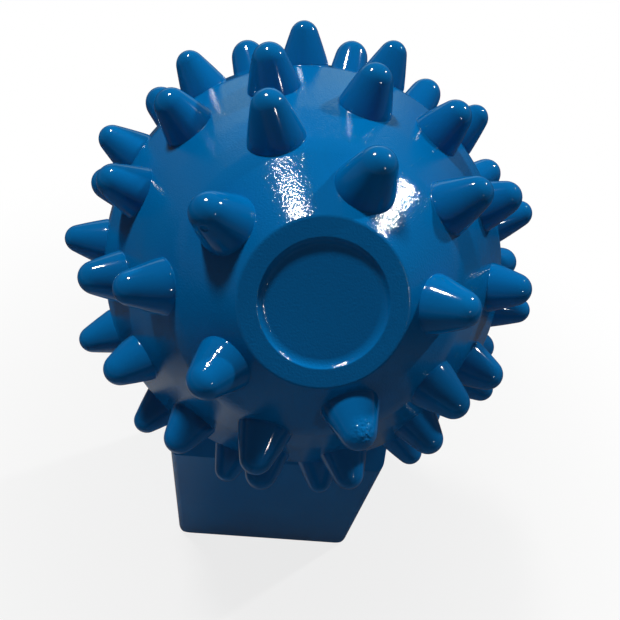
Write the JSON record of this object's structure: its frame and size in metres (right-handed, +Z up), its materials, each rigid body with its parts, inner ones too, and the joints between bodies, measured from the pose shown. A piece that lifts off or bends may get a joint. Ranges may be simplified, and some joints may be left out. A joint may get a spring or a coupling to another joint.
{
  "type": "roller cone cutter with leg",
  "caption": "Rock drilling cutter: a button-studded roller cone turns on the slanted journal of a flat-sided leg that stands on its shank, all in glossy enamel.",
  "frame": {"origin": "middle of the shank's flat end, where the leg's side faces and its front and crown centre", "axes": "+Z up the leg from its flat end, -Y towards the cone's nose, +X across the flat sides"},
  "size_m": [0.1576, 0.131, 0.232],
  "materials": {
    "cone_enamel": "glossy sprayed enamel",
    "leg_enamel": "glossy sprayed enamel",
    "button_enamel": "glossy sprayed enamel",
    "ball_steel": "polished",
    "plug_steel": "ground",
    "seal_rubber": "matt",
    "bearing_bronze": "turned"
  },
  "bodies": {
    "leg": {"leg_forging": "leg_enamel", "ball_plug": "plug_steel", "plug_weld": "leg_enamel", "retaining_balls": "ball_steel", "reservoir_canister": "plug_steel", "reservoir_diaphragm": "seal_rubber", "reservoir_cap": "leg_enamel", "cap_seal": "seal_rubber", "snap_ring": "leg_enamel", "guard_buttons": "button_enamel"},
    "cone": {"cone_shell": "cone_enamel", "seal_ring": "seal_rubber", "main_bushing": "bearing_bronze", "thrust_washer": "bearing_bronze", "pilot_bushing": "bearing_bronze", "thrust_button": "plug_steel", "middle_row_buttons": "button_enamel", "gage_row_buttons": "button_enamel", "heel_row_buttons": "button_enamel", "nose_button_1": "button_enamel", "nose_button_2": "button_enamel", "nose_button_3": "button_enamel", "nose_button_4": "button_enamel", "nose_button_5": "button_enamel", "inner_button_1": "button_enamel", "inner_button_2": "button_enamel", "inner_button_3": "button_enamel", "inner_button_4": "button_enamel", "inner_button_5": "button_enamel"}
  },
  "joints": [
    {"name": "cone_spin", "type": "hinge", "parent": "leg", "child": "cone", "pos_m": [0, -0.0625, 0.2], "axis": [0, -0.809, 0.5878], "continuous": true}
  ]
}
